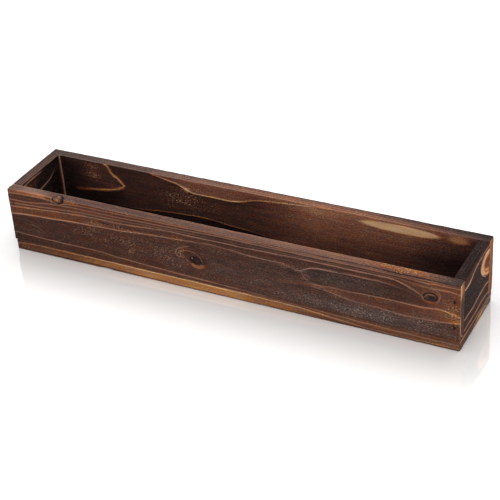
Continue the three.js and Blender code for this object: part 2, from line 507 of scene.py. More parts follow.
# %% [markdown]
# ## A board
#
# Every board starts as a cube stretched to the sawn size. Its edges get the small round of wire brushing, its
# faces are cut into cells of about a millimetre, and nail holes are cut with a Boolean. Then each point is
# pushed in by the depth that brush, torch and knots leave there. Nothing grows past the sawn face, apart from
# a knot that stands proud.

# %% Cutting a blank
ARRIS = 0.8  # mm, the round that the brush leaves on an edge
SAME_LENGTH = 0.001  # mm, the most by which two equal edges differ


def node_corners(node):
    """A frame node's lowest and highest corner in mm."""
    return [Vector([round(value / MM, 2) for value in corner]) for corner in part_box(node)]


def spans(node):
    """How far a frame node reaches in mm along X, along Y and along Z."""
    return list(zip(*node_corners(node)))


def add_box(bm, low, high):
    """Adds a box between two corners to a bmesh."""
    made = bmesh.ops.create_cube(bm, size=1)["verts"]
    bmesh.ops.scale(bm, vec=high - low, verts=made)
    bmesh.ops.translate(bm, vec=(low + high) / 2, verts=made)


def blank_board(low, high, cell):
    """A box from low to high in mm, with rounded edges and faces cut into cells of about the given size."""
    bm = bmesh.new()
    add_box(bm, low, high)
    bmesh.ops.bevel(
        bm, geom=bm.edges[:], offset=ARRIS, offset_type="OFFSET", segments=2, profile=0.5, affect="EDGES",
        material=-1,
    )
    for axis in range(3):
        length = (high - low)[axis] - 2 * ARRIS
        cuts = round(length / cell[axis]) - 1
        runs = [
            edge for edge in bm.edges
            if abs(abs((edge.verts[1].co - edge.verts[0].co)[axis]) - length) < SAME_LENGTH
        ]
        bmesh.ops.subdivide_edges(bm, edges=runs, cuts=cuts, use_grid_fill=True)
    return bm


def with_cuts(name, bm, cutters):
    """The bmesh as an object, with every cutter bmesh taken away from it."""
    board = object_from(bm, name)
    for cutter_bm in cutters:
        cutter = object_from(cutter_bm, name + "_cutter")
        cut = board.modifiers.new("cut", "BOOLEAN")
        cut.object = cutter
        cut.operation = "DIFFERENCE"
        cut.solver = "MANIFOLD"
        bpy.context.view_layer.update()
        evaluated = board.evaluated_get(bpy.context.evaluated_depsgraph_get())
        cut_mesh = bpy.data.meshes.new_from_object(evaluated)
        board.modifiers.clear()
        board.data = cut_mesh
        bpy.data.objects.remove(cutter)
    return board


long_way, front_thickness, wall_height = spans("front_board")
print("front board, mm:", long_way, front_thickness, wall_height)

# %% [markdown]
# ## Nail holes
#
# A brad gun drives its brad a little below the surface and leaves a small upright slot. The brads themselves
# are in the frame, so each hole is cut round the head of one: the frame says where it is.

# %% Holes round the brads
HEAD_SUNK = 1.5  # mm from the board's face down to a head
HOLE_DEPTH = 2.7  # mm, down to the shoulder that the head sits on
HOLE_CLEARANCE = Vector((0.25, 0.25, 0.25))  # mm of crushed wood round a head
CUT_SPARE = 1.0  # mm by which a cutter stands out of the wood

brad_names = sorted(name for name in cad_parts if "_brad_" in name)


def nail_holes(board_low, board_high):
    """One cutter for all the brads that start in a board's face."""
    bm = bmesh.new()
    for name in brad_names:
        low, high = [Vector(corner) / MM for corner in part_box(name)]
        axis = max(range(3), key=lambda i: (high - low)[i])
        if name.startswith("bottom"):
            entry, inward = 0.0, 1
        else:
            inward = 1 if low[axis] < 0 else -1
            entry = round(low[axis] - HEAD_SUNK) if inward > 0 else round(high[axis] + HEAD_SUNK)
        start, end = sorted((entry - inward * CUT_SPARE, entry + inward * HOLE_DEPTH))
        low, high = low - HOLE_CLEARANCE, high + HOLE_CLEARANCE
        low[axis], high[axis] = start, end
        middle = (low + high) / 2
        if all(board_low[i] - CUT_SPARE < middle[i] < board_high[i] + CUT_SPARE for i in range(3)):
            add_box(bm, low, high)
    return bm


print("brads in the frame:", len(brad_names))

# %% [markdown]
# ## Wear, and what the shader needs to know
#
# The same reading of a face does two jobs. It moves the points, so grain ridges, knots and nicked edges
# are real geometry. And it is stored on the corners of every small face as attributes, which the material
# turns into colour. Each small face belongs to the side of the board that it looks towards, so the grain
# never smears round an edge.

# %% How deep each face is worn
BRUSHED_DEPTH = 0.10  # mm that torch and brush take off the sawn face
BRUSHED_WAVES = ((0.12, 60, 18), (0.09, 9, 3.0), (0.05, 4, 2.6))  # mm deep, over how many mm along and across
CHARRED_DEPTH = 0.12  # mm for each unit of scorch below a half
RIDGE = 0.20  # mm that a bright summer line stands above the burnt wood
RIDGE_WIDTH = 1.4  # mm to either side of a line
STROKE_RIDGE_SPARE = 0.9  # mm that a stroke's ridge is wider than its colour
ARRIS_WEAR, ARRIS_NICK = 0.40, 6  # mm worn off the long edges at most, and the length of a nick
END_WEAR, END_NICK = 0.90, 3.2  # the same for the board's ends
NICK_BASE, NICK_SWING = 0.35, 0.9  # shares of the wear: what every place has, and what comes and goes
WEAR_REACH = 1.3  # mm in from an edge


def worn_depth(face, reading, along, across, ends):
    """How far in mm each point of a face lies below the sawn surface."""
    seed = face["seed"]
    depth = layered(BRUSHED_WAVES, along, across, seed + 2, BRUSHED_DEPTH)
    off_line = np.abs(reading["level"] - np.round(reading["level"])) * reading["width"]
    depth -= RIDGE * np.minimum(reading["glow"], 1) * np.exp(-(off_line / RIDGE_WIDTH) ** 2)
    side, brightness, width = reading["mark"].T
    depth -= RIDGE * np.clip(brightness, 0, 1) * np.exp(-(side / (width + STROKE_RIDGE_SPARE)) ** 2)
    depth += CHARRED_DEPTH * np.clip(0.5 - reading["scorch"], 0, 1)
    low, high = face["edges"]
    for inward, run, wear, nick in (
        (across - low, along, ARRIS_WEAR, ARRIS_NICK), (high - across, along, ARRIS_WEAR, ARRIS_NICK),
        (along - ends[0], across, END_WEAR, END_NICK), (ends[1] - along, across, END_WEAR, END_NICK),
    ):
        nicks = unevenness(run / nick, np.full_like(run, 3.5), seed + 5)
        bite = wear * np.clip(NICK_BASE + NICK_SWING * nicks, 0, 1)
        depth += bite * np.exp(-np.maximum(inward, 0) / WEAR_REACH)
    return np.maximum(depth, 0) - reading["proud"]


print("a bare summer line stands", RIDGE, "mm proud of the burnt wood")

# %% Finishing a board
SIDES = {"-X": (0, -1), "+X": (0, 1), "-Y": (1, -1), "+Y": (1, 1), "-Z": (2, -1), "+Z": (2, 1)}
SIDE_SHIFT = 700.0  # mm between the noise of one side and that of the next
STORED = {"grain": 4, "rings": 4, "burn": 4, "mark": 3}  # the attributes, and how many numbers each holds
HOLE_SHADE = 0.8  # share of the scorch value that a hole's wall loses deeper in, painted shade in the hole
HOLE_LIP, HOLE_FADE = 1.0, 1.5  # mm below the face where a hole starts to darken, and over which it does
SHARP_ANGLE = math.radians(50)


def grain_axes(axis, grain_axis, size):
    """Which coordinates run along and across the grain of a face. End grain runs the long way."""
    others = [i for i in range(3) if i != axis]
    if axis == grain_axis:
        return sorted(others, key=lambda i: -size[i])
    return grain_axis, [i for i in others if i != grain_axis][0]


def all_of(items, quality, kind=float):
    """One quality of all the vertices, faces or corners of a mesh, as an array."""
    values = np.empty(len(items) * np.size(getattr(items[0], quality)), kind)
    items.foreach_get(quality, values)
    return values


def finish_board(board, low, high, grain_axis, faces):
    """Wears the board's surface and stores how its wood looks."""
    mesh = board.data
    points = all_of(mesh.vertices, "co").reshape(-1, 3)
    shift = np.zeros_like(points)
    corner_place = points[all_of(mesh.loops, "vertex_index", int)]
    sizes = all_of(mesh.polygons, "loop_total", int)
    corner_normal = np.repeat(all_of(mesh.polygons, "normal").reshape(-1, 3), sizes, axis=0)
    strongest = np.argmax(np.abs(corner_normal), axis=1)
    stored = {name: np.zeros((len(mesh.loops), size)) for name, size in STORED.items()}
    for number, (side, (axis, sign)) in enumerate(SIDES.items()):
        face = faces[side]
        s, t = grain_axes(axis, grain_axis, high - low)
        plane = (high if sign > 0 else low)[axis]
        weight = np.clip(1 - np.abs(points[:, axis] - plane) / ARRIS, 0, 1)
        worn = weight > 0
        reading = read_face(face, points[worn, s], points[worn, t])
        depth = worn_depth(face, reading, points[worn, s], points[worn, t], (low[s], high[s]))
        shift[worn, axis] -= sign * weight[worn] * depth
        corners = (strongest == axis) & (np.sign(corner_normal[:, axis]) == sign)
        where = corner_place[corners]
        reading = read_face(face, where[:, s], where[:, t])
        # Hole walls darken with depth below the face: painted shade in the holes.
        buried = np.clip((np.abs(where[:, axis] - plane) - HOLE_LIP) / HOLE_FADE, 0, 1)
        reading["scorch"] *= 1 - HOLE_SHADE * buried
        reading["glow"] *= 1 - buried
        reading["jump"] *= 1 - buried
        reading["along"], reading["across"] = where[:, s] + SIDE_SHIFT * number, where[:, t]
        for name, qualities in (
            ("grain", ("along", "flow", "across", "jump")), ("rings", ("level", "width", "glow", "fleck")),
            ("burn", ("scorch", "ash", "knot", "arc")), ("mark", ("mark",)),
        ):
            stored[name][corners] = np.column_stack([reading[quality] for quality in qualities])
    for name, values in stored.items():
        kind, field = ("FLOAT_VECTOR", "vector") if STORED[name] == 3 else ("FLOAT_COLOR", "color")
        mesh.attributes.new(name, kind, "CORNER").data.foreach_set(field, values.ravel())
    mesh.vertices.foreach_set("co", ((points + shift) * MM).ravel())
    mesh.polygons.foreach_set("use_smooth", np.ones(len(mesh.polygons), bool))
    mesh.set_sharp_from_angle(angle=SHARP_ANGLE)
    mesh.update()
    deepest = round(float(np.abs(shift).max()), 2)
    print(board.name, "has", sum(sizes - 2), "triangles and is worn by up to", deepest, "mm")


def make_board(node, cell, grain_axis, faces, material, more_cutters=()):
    """Builds the board that stands for a frame node, and finishes it."""
    low, high = node_corners(node)
    cutters = [nail_holes(low, high), *more_cutters]
    board = with_cuts(node + "_wood", blank_board(low, high, cell), cutters)
    finish_board(board, low, high, grain_axis, faces)
    board.data.materials.clear()
    board.data.materials.append(material)
    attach(board, "root")
    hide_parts(node)


print("every small face stores", sum(STORED.values()), "numbers at each corner")

# %% [markdown]
# ## Scorched, brushed fir
#
# Torching turns fir from straw, through orange and red brown, to black. The brush then lifts the
# softest char, so black areas keep a fine grey grain, and the hard summer lines come up tan. One ramp
# holds all those colours, from char to bare wood, and everything else moves a point up or down that
# ramp: streaks along the fibres, blotches of heat, and small flecks where the brush broke through. A
# thin coat of oil gives a low sheen.

# %% What the wood is made of
CHAR_TO_BARE = [
    (0.00, "#0e0a09"), (0.12, "#1f1311"), (0.25, "#342019"), (0.38, "#4b2b1f"),
    (0.50, "#643a24"), (0.63, "#865231"), (0.79, "#a9774f"), (1.00, "#dab087"),
]
NO_BARK = "#808080"
# From a knot's heart out to twice its radius. The wood gets paler where this is paler than NO_BARK, or darker
BARK_RING = [
    (0.00, NO_BARK), (0.30, "#909090"), (0.38, "#8a8a8a"), (0.44, "#3c3c3c"),
    (0.51, "#383838"), (0.57, "#a0a0a0"), (0.66, "#8a8a8a"), (0.90, NO_BARK),
]
# Patterns: mm along the grain, mm across it, and how much finer detail. The fibres are drawn coarser than
# real ones, which would be too fine to show
FIBRE, STREAK, BLOTCH = (9.0, 0.55, 2), (55.0, 1.5, 3), (17.0, 6.0, 3)
FLECK, SPECK, FLECK_GROUP = (3.0, 0.80, 1), (2.2, 0.95, 1), (30.0, 9.0, 2)
# How far each pattern moves the wood along the ramp
STREAK_SHADE, FIBRE_SHADE, BLOTCH_SHADE, BARK_SHADE = 0.26, 0.30, 0.20, 1.2
LINE_SHADE, FLECK_SHADE, ARC_SHADE = 0.40, 0.22, 0.40
GRIT, GRIT_WITH_FLECKS = 0.20, 0.36
LINE_WIDTH = 0.60  # mm to either side of a faint summer line
BRIGHT_LINE_WIDTH = 0.45  # what a bright one has more
LINE_FADE = (0.3, 1.7, 1, 0)  # from these widths off a line to those, it goes from full to nothing
SISTER_GAP = 2.1  # mm between a summer line and the fine ones beside it
ARC_CROWDING = 19  # how closely the arcs crowd, in radians for each knot radius
RELIEF = 0.6 * MM  # the depth of the finest relief
OIL_IOR = 1.45
print("wood ramp has", len(CHAR_TO_BARE), "colours")

# %% The wood material
def scorched_fir(name, specular, sheen_roughness, yellower=0.0):
    """Torched, wire-brushed fir, thinly oiled. yellower turns the hue from red brown towards gold."""
    material, new, fill_inputs, surface = empty_material(name)
    grain, rings, burn, mark = [new("Attribute", attribute_name=quality) for quality in STORED]
    jump, fleck, arc = [stored.outputs["Alpha"] for stored in (grain, rings, burn)]
    level, width, glow = new("SeparateColor", [rings]).outputs[:3]
    scorch, ash, knot = new("SeparateColor", [burn]).outputs[:3]
    side, brightness, stroke_width = new("SeparateXYZ", [mark.outputs["Vector"]]).outputs[:3]
    along, flow, across = new("SeparateXYZ", [grain.outputs["Vector"]]).outputs[:3]
    above_line = new("Math", [0.5, new("Math", [level], "FRACT")], "SUBTRACT")
    tone = new("Math", [jump, above_line, scorch], "MULTIPLY_ADD")

    # The streaks follow the rings, and the other patterns follow the board
    by_flow, by_board = new("CombineXYZ", [along, flow]), new("CombineXYZ", [along, across])
    patterns = []
    for size in (FIBRE, STREAK, BLOTCH, FLECK, SPECK, FLECK_GROUP):
        place = by_flow if size is STREAK else by_board
        scaled = new("VectorMath", [place, (1 / size[0], 1 / size[1], 1)], "MULTIPLY")
        patterns.append(new("TexNoise", {"Vector": scaled, "Scale": 1, "Detail": size[2], "Roughness": 0.55}))
    fibre, streak, blotch, tick, speck, group = patterns

    # Summer lines: how far each point is from the nearest one, set against a width that wanders
    uneven_width = new("Math", [blotch, 0.5], "ADD")
    off_line = new("Math", [level, new("Math", [level], "ROUND")], "SUBTRACT")
    off_line = new("Math", [new("Math", [off_line], "ABSOLUTE"), width], "MULTIPLY")
    line_width = new("Math", [glow, BRIGHT_LINE_WIDTH, LINE_WIDTH], "MULTIPLY_ADD")
    line_width = new("Math", [line_width, uneven_width], "MULTIPLY")
    line = new("MapRange", [new("Math", [off_line, line_width], "DIVIDE"), *LINE_FADE], **SMOOTH)
    line = new("Math", [line, glow], "MULTIPLY")
    broken = new("Math", [tick, 0.5, streak], "MULTIPLY_ADD")
    broken = new("MapRange", [broken, 0.52, 0.88, 0.7, 1.15], **SMOOTH)
    line = new("Math", [line, broken], "MULTIPLY")

    # Fine sister lines beside them, which show only where the streaks are pale
    sisters = new("Math", [new("Math", [off_line, 2 * math.pi / SISTER_GAP], "MULTIPLY")], "COSINE")
    sisters = new("MapRange", [sisters, 0.55, 1.0], **SMOOTH)
    for limits in ([off_line, 1.0, 8.0, 0.34, 0], [streak, 0.42, 0.60], [off_line, 0.9, 1.3]):
        sisters = new("Math", [sisters, new("MapRange", limits, **SMOOTH)], "MULTIPLY")
    line = new("Math", [sisters, glow, line], "MULTIPLY_ADD")

    # Strokes are drawn as lines are
    stroke_width = new("Math", [stroke_width, uneven_width], "MULTIPLY")
    stroke = new("Math", [new("Math", [side], "ABSOLUTE"), stroke_width], "DIVIDE")
    stroke = new("Math", [new("MapRange", [stroke, *LINE_FADE], **SMOOTH), brightness], "MULTIPLY")
    line = new("Math", [stroke, broken, line], "MULTIPLY_ADD")

    # Fine arcs, where rings crowd round a knot
    arcs = new("Math", [knot, new("Math", [blotch, 0.5], "MULTIPLY")], "ADD")
    arcs = new("Math", [new("Math", [arcs, ARC_CROWDING], "MULTIPLY")], "SINE")
    arcs = new("Math", [new("MapRange", [arcs, 0.45, 0.95], **SMOOTH), arc], "MULTIPLY")
    arcs = new("Math", [arcs, ARC_SHADE], "MULTIPLY")

    # Flecks, large and small, in groups
    flecks = new("MapRange", [tick, 0.58, 0.70], **SMOOTH)
    specks = new("Math", [new("MapRange", [speck, 0.60, 0.72], **SMOOTH), 0.8], "MULTIPLY")
    flecks = new("Math", [flecks, specks], "MAXIMUM")
    flecks = new("Math", [flecks, new("MapRange", [group, 0.30, 0.62], **SMOOTH)], "MULTIPLY")
    flecks = new("Math", [flecks, fleck], "MULTIPLY")

    # Where on the ramp from char to bare wood
    grit = new("Math", [fleck, GRIT_WITH_FLECKS, GRIT], "MULTIPLY_ADD")
    shades = {streak: STREAK_SHADE, fibre: FIBRE_SHADE, blotch: BLOTCH_SHADE, speck: grit}
    for pattern, shade in shades.items():
        tone = new("Math", [new("Math", [pattern, 0.5], "SUBTRACT"), shade, tone], "MULTIPLY_ADD")
    tone = new("Math", [flecks, FLECK_SHADE, tone], "MULTIPLY_ADD")
    tone = new("Math", [line, LINE_SHADE, tone], "MULTIPLY_ADD")
    tone = new("Math", [tone, arcs], "ADD")

    # Knots: a charred bark ring, brown rings inside it, and a warm halo outside
    knot = new("Math", [new("Math", [blotch, 0.5], "SUBTRACT"), 0.5, knot], "MULTIPLY_ADD")
    bark = new("ValToRGB", [new("Math", [knot, 2], "DIVIDE")], stops=BARK_RING)
    bark = new("Math", [new("RGBToBW", [bark]), linear(NO_BARK)[0]], "SUBTRACT")
    tone = new("Math", [bark, BARK_SHADE, tone], "MULTIPLY_ADD", use_clamp=True)
    hue = new("MapRange", [group, 0.25, 0.75, 0.488 + yellower, 0.502 + yellower], **SMOOTH)
    warmth = new("MapRange", [blotch, 0.3, 0.7, 0.95, 1.14], **SMOOTH)
    colour = new("ValToRGB", [tone], stops=CHAR_TO_BARE)
    colour = new("HueSaturation", {"Hue": hue, "Saturation": warmth, "Color": colour})

    # The brush polishes the hard lines and flecks, so they are paler and pinker than the wood round them
    polished = [new("Math", [line, 0.95], "MULTIPLY"), new("Math", [flecks, 0.8], "MULTIPLY")]
    polish = new("Math", polished, "MAXIMUM", use_clamp=True)
    for limits in ([tone, 0.82, 0.52], [ash, -0.5, 0.0]):
        polish = new("Math", [polish, new("MapRange", limits, **SMOOTH)], "MULTIPLY")
    colour = new("Mix", {0: polish, 6: colour, 7: linear("#8a6b5f")}, data_type="RGBA").outputs[2]

    # Ash greys the burnt wood but not the bare wood, and on the top edges part of that grey is painted sheen.
    # Below zero the wood turns paler and redder. That is wood that was heated but never flamed, and across
    # the inside of the back it is painted light, the warm light that bounces about inside the box.
    baked_wood_and_bounce_light = new("HueSaturation", {"Hue": 0.484, "Saturation": 0.72, "Value": 1.2, "Color": colour})
    between_lines = new("Math", [1.0, line], "SUBTRACT", use_clamp=True)
    baking_and_bounce_light = new("Math", [new("Math", [ash, -1.0], "MULTIPLY", use_clamp=True), between_lines], "MULTIPLY")
    colour = new("Mix", {0: baking_and_bounce_light, 6: colour, 7: baked_wood_and_bounce_light}, data_type="RGBA").outputs[2]
    grey = new("HueSaturation", {"Saturation": 0.4, "Value": 1.12, "Color": colour})
    greying = new("Math", [ash, new("MapRange", [tone, 0.40, 0.85, 1, 0.15], **SMOOTH)], "MULTIPLY")
    greying = new("Math", [greying, new("Math", [fibre, 0.5], "ADD")], "MULTIPLY", use_clamp=True)
    colour = new("Mix", {0: greying, 6: colour, 7: grey}, data_type="RGBA").outputs[2]

    # Fine relief on top of the modelled wear
    height = new("Math", [line, 0.5, new("Math", [streak, 0.6], "MULTIPLY")], "MULTIPLY_ADD")
    height = new("Math", [fibre, 0.7, height], "MULTIPLY_ADD")
    height = new("Math", [speck, 0.5, height], "MULTIPLY_ADD")
    fill_inputs(surface, {
        "Base Color": colour,
        "Roughness": new("Math", [fibre, 0.2, sheen_roughness - 0.1], "MULTIPLY_ADD"),
        "Normal": new("Bump", {"Height": height, "Strength": 0.85, "Distance": RELIEF}),
        "IOR": OIL_IOR,
        "Specular IOR Level": specular,
    })
    return material


board_fir = scorched_fir("scorched and brushed fir", 0.06, 0.60, yellower=0.005)
end_fir = scorched_fir("deeply scorched and brushed fir", 0.05, 0.70)
base_fir = scorched_fir("lightly scorched and brushed fir", 0.06, 0.60, yellower=0.010)
print("nodes in the wood material:", len(board_fir.node_tree.nodes))

# %% [markdown]
# ## The front board
#
# This is the face that everybody sees, so its grain is drawn line by line. Three knots push the lines
# about: one stands proud on the top edge, one is a sunk pit of dried resin, and one is a neat ring
# near the right end. All of the wide middle is charred, with a warmer wedge to the right and a bright
# pair of lines above it.

# %% Front face: the lowest lines and the warm wedge
# along mm, across mm, glow, scorch above, scorch below
ROOT_LINE = [
    (-305, 26.3, .35, .24, .22), (-250, 24.8, .45, .25, .25), (-180, 25, .45, .27, .30),
    (-144, 22.5, .45, .29, .34), (-72, 19, .50, .31, .38), (0, 16.6, .50, .32, .38),
    (60, 14.8, .30, .32, .36), (110, 13.4, 0, .32, .32), (305, 12, 0, .30, .30),
]
WEDGE_LOWER_LINE = [
    (-305, 38, 0, .25, .25), (-100, 36, 0, .29, .29), (60, 40, 0, .32, .32), (120, 44.2, .10, .42, .31),
    (131, 43.8, .35, .46, .30), (157, 39.8, .35, .38, .30), (170, 37.8, .35, .37, .31),
    (200, 36.6, .30, .37, .32), (235, 33.8, .35, .36, .32), (257, 34.2, .30, .38, .32),
    (280, 35.5, .30, .42, .32), (305, 38.5, .55, .50, .36),
]
WEDGE_UPPER_LINE = [
    (-305, 47, 0, .25, .25), (-100, 46, 0, .29, .29), (60, 46.5, 0, .30, .30), (108, 47.2, 0, .30, .34),
    (120, 48, .30, .28, .44), (131, 48, .35, .28, .46), (147, 49.3, .30, .28, .43),
    (165, 49.5, .28, .28, .40), (203, 51, .35, .28, .37), (232, 50.6, .45, .29, .36),
    (256, 50.2, .65, .33, .38), (282, 52.5, .80, .38, .42), (294, 50.4, .80, .40, .44),
    (305, 47, .70, .42, .48),
]
print("points on the wedge's two lines:", len(WEDGE_LOWER_LINE), "and", len(WEDGE_UPPER_LINE))

# %% Front face: the lines above the dark middle
STRIPE_LINE = [
    (-305, 53.5, .80, .44, .24), (-270, 56.9, .85, .44, .24), (-239, 58.5, .80, .43, .24),
    (-206, 61, .75, .42, .25), (-169, 62.3, .65, .33, .28), (-139, 63.8, .50, .31, .30),
    (-103, 66.7, .50, .31, .29), (-67, 68.7, .45, .33, .30), (-21, 71.6, .40, .29, .28),
    (15, 71, .40, .28, .28), (35, 68.8, .45, .28, .28), (56, 68.2, .45, .28, .28),
    (69, 68.3, .45, .30, .27), (81, 68.6, .35, .31, .26), (89, 66.8, .22, .31, .25),
    (97, 64.8, .15, .31, .24), (103, 62.6, .22, .31, .22), (108, 63.4, .35, .30, .21),
    (113, 66.6, .50, .28, .22), (122, 70.6, .60, .26, .23), (134, 72.4, .60, .28, .23),
    (168, 72.6, .50, .28, .25), (201, 72.8, .45, .28, .25), (218, 72, .30, .29, .25),
    (240, 68, 0, .30, .24), (258, 61.5, 0, .33, .24), (268, 57.5, 0, .36, .30), (285, 56.5, 0, .40, .38),
    (305, 56, 0, .42, .40),
]
KNOT_LINE = [
    (-305, 64.5, .40, .37, .40), (-272, 67.7, .60, .35, .40), (-242, 70.3, .60, .34, .40),
    (-211, 72.2, .60, .33, .37), (-180, 73.6, .60, .32, .31), (-137, 74, .55, .30, .30),
    (-102, 76.4, .58, .29, .30), (-66, 78.6, .62, .26, .29), (-30, 78, .60, .23, .28),
    (10, 78.4, .60, .21, .27), (63, 79.5, .60, .21, .27), (127, 80.7, .68, .22, .27),
    (184, 80.2, .75, .25, .27), (205, 80.5, .75, .27, .28), (223, 80, .75, .32, .27),
    (235, 77.2, .75, .38, .25), (244, 73.4, .65, .38, .25), (252, 70, .50, .36, .24),
    (258, 66, .20, .34, .25), (262, 60.5, .05, .32, .28), (270, 58.8, 0, .30, .34), (285, 60, 0, .38, .38),
    (305, 60, .10, .42, .42),
]
FIRST_TIGHT_LINE = [
    (-305, 69.5, .30, .37, .38), (-280, 71.2, .45, .37, .35), (-242, 74.2, .45, .36, .34),
    (-200, 76.6, .40, .36, .31), (-137, 78.3, .30, .32, .30), (-66, 81, .20, .26, .26),
    (0, 81.5, .10, .24, .23), (63, 82.5, .08, .23, .22), (184, 83.2, .12, .27, .25),
    (230, 82.5, .20, .34, .30), (255, 79.5, .25, .36, .36), (269, 79.6, .40, .40, .36),
    (275, 79, .50, .42, .38), (290, 79.4, .50, .43, .40), (305, 78, .45, .43, .42),
]
SECOND_TIGHT_LINE = [
    (-305, 75, .42, .35, .39), (-279, 75.6, .50, .34, .39), (-260, 78, .50, .33, .39),
    (-240, 80.6, .45, .34, .38), (-220, 81.8, .40, .36, .38), (-180, 82.2, .35, .34, .35),
    (-137, 82.6, .40, .31, .32), (-66, 84.2, .46, .30, .28), (-22, 85.4, .54, .27, .22),
    (17, 86.2, .58, .27, .21), (76, 86.3, .62, .27, .20), (138, 86.4, .66, .28, .22),
    (196, 86.3, .60, .30, .26), (244, 85.8, .40, .36, .32), (265, 84, .45, .42, .38),
    (277, 85.4, .50, .43, .40), (305, 85.6, .40, .43, .40),
]
TOP_LINE = [
    (-305, 84.5, .40, .52, .32), (-283, 85.4, .45, .56, .28), (-264, 85.8, .45, .62, .26),
    (-250, 85.8, .40, .62, .26), (-236, 84.4, .40, .30, .28), (-228, 82.9, .30, .28, .28),
    (-212, 85.4, .40, .40, .34), (-180, 86.6, .40, .36, .32), (-137, 87.2, .35, .38, .34),
    (-66, 88, .40, .42, .33), (0, 88.6, .45, .42, .28), (85, 88.8, .45, .40, .25),
    (138, 88.4, .50, .24, .26), (196, 88.2, .45, .20, .28), (244, 87.6, .45, .20, .36),
    (280, 87.6, .35, .20, .42), (305, 87.8, .20, .20, .38),
]
print("the front's highest line has", len(TOP_LINE), "points")

# %% Front face: patches
# along mm, across mm, reach along, reach across, then what is added: scorch, ash, flecks, arcs
FRONT_PATCHES = [
    (200, 24, 110, 11, .02, .70, .75, 0), (160, 62, 60, 9, 0, .5, 0, 0), (30, 42, 110, 25, 0, .3, 0, 0),
    (90, 67, 9, 3, .07, 0, 1.6, 0), (103, 62, 5, 2.6, .07, 0, 1.6, 0), (97, 60, 5, 3, -.10, 0, 0, 0),
    (-57, 70, 9, 4, .10, -.1, 1.2, 0), (115, 58, 5, 6, .08, 0, 1.4, 0), (126, 61, 7, 4, -.06, 0, 0, 0),
    (-150, 67.5, 40, 3.8, 0, -.02, 1.9, 0), (-172, 64.8, 20, 2.0, .10, 0, .3, 0),
    (-128, 66.6, 18, 1.8, .08, 0, .3, 0), (-150, 50, 60, 9, 0, 0, 1.0, 0),
    (-60, 40, 26, 12, .03, .1, .8, 0), (-47, 61, 5, 3, .05, 0, 1.0, 0), (-126, 37, 8, 4, .04, 0, 1.5, 0),
    (-115, 41, 8, 1.0, .10, 0, .5, 0), (298, 42, 9, 18, .02, -.1, 1.2, 0), (294, 58, 12, 8, 0, 0, .9, 0),
    (-304.6, 50, 1.0, 90, -.22, 0, -.3, 0), (-262, 84, 22, 1.2, -.05, 0, 0, 0),
    # The four small dark spots at 298 mm either side of the middle are painted shade in the nail holes.
    (298, 67, 1.3, 2.1, -.55, 0, -.6, 0), (298, 33, 1.4, 2.3, -.55, 0, -.6, 0),
    (-298, 70.5, 1.2, 1.8, -.35, 0, -.5, 0), (-298, 22.5, 1.2, 1.8, -.35, 0, -.5, 0),
    (-230, 83, 14, 1.6, -.14, 0, 0, 0), (-207, 88.8, 13, 2.0, .16, -.1, .6, 0),
    (-228, 90, 7, 5, 0, 0, .5, .9), (269, 59.6, 9, 2.2, .12, -.3, 0, 0),
    (282, 62, 34, 34, .03, .14, -.15, 0),
]
print("patches on the front:", len(FRONT_PATCHES))

# %% Front face: rings that curl round the knots
# brightness, half width mm, then places along and across in mm
FRONT_STROKES = [
    (.40, .4, [(-50.6, 54.6), (-45.6, 56.2), (-38.7, 56), (-31.9, 53.8), (-27, 50), (-25.2, 45.5)]),
    (.44, .4, [(-43.5, 62.6), (-48.6, 60.5), (-54, 58.7), (-58.7, 55.5), (-61, 50.4), (-59.6, 46.2),
               (-55.4, 44.6)]),
    (.48, .45, [(-50.4, 55.6), (-54.6, 51.2), (-54.9, 48), (-51.3, 44.5)]),
    (.38, .4, [(-50.6, 48.6), (-46.6, 43), (-42.9, 39.7), (-38.5, 37)]),
    (.42, .35, [(-58, 49.8), (-56, 53.4), (-52.6, 55.4)]),
    (.40, .35, [(-272.5, 42), (-266, 40.2), (-260.5, 38)]),
    (.45, .6, [(-237.5, 84.5), (-237.6, 87.5), (-237, 91)]),
    (.24, .5, [(109, 63), (110.6, 58), (113.5, 53.5), (119, 50.5), (126, 49.3)]),
    (.35, .5, [(262.1, 65.5), (264.5, 68.6), (267.8, 69.9), (272.9, 69.8)]),
    (.28, .5, [(270, 77.8), (275, 77.3), (279, 75.5), (280.8, 71), (280, 66), (278, 62.3)]),
]
print("strokes on the front:", len(FRONT_STROKES))

# %% Front face: knots and their wood
# along mm, across mm, radius, radius, tilt in degrees, scorch, softness of its edge, ash
FRONT_ISLANDS = [
    (-36, 46, 17, 11, -24, .32, .9, -.2), (-43, 52.4, 6.5, 3.0, 12, .29, .5, 0),
    (-30.6, 38.4, 9.6, 5.7, 8, .57, .35, .1), (-28, 45.6, 9.6, 5.8, -14, .27, .3, 0),
    (-34.2, 44.0, 8.0, 5.5, -18, .05, .25, -.3), (-32.4, 43.6, 5.0, 3.8, -18, .17, .9, -.6),
    # The pale grey fleck at -39.2 mm is a painted highlight, the glint on the resin pit.
    (-39.2, 46.0, .9, 2.3, 0, .66, .7, .9), (269.3, 67.4, 8.6, 5.8, 12, .27, .4, .15),
    (270.6, 65.8, 4.2, 2.8, 12, .12, .5, .4), (-227.4, 89.8, 8.4, 5.6, 0, .12, .2, .1),
    # The small pale grey spot at -227.2 mm is a painted highlight on the crest of the proud knot.
    (-228.4, 90.4, 5.8, 4.2, 0, .42, .5, .3), (-227.2, 91.4, 1.5, 1.9, 0, .70, .8, .7),
    (-127.6, 36.2, 1.2, 1.8, 0, .60, .9, .5),
]
RING_KNOT = (269.3, 67.2, 8.8, 5.8, 12)
PROUD_KNOT = (-227.4, 89.8, 8.8, 6.0, 0)
PIN_KNOT = (-126, 36.8, 2.2, 2.0, 0)
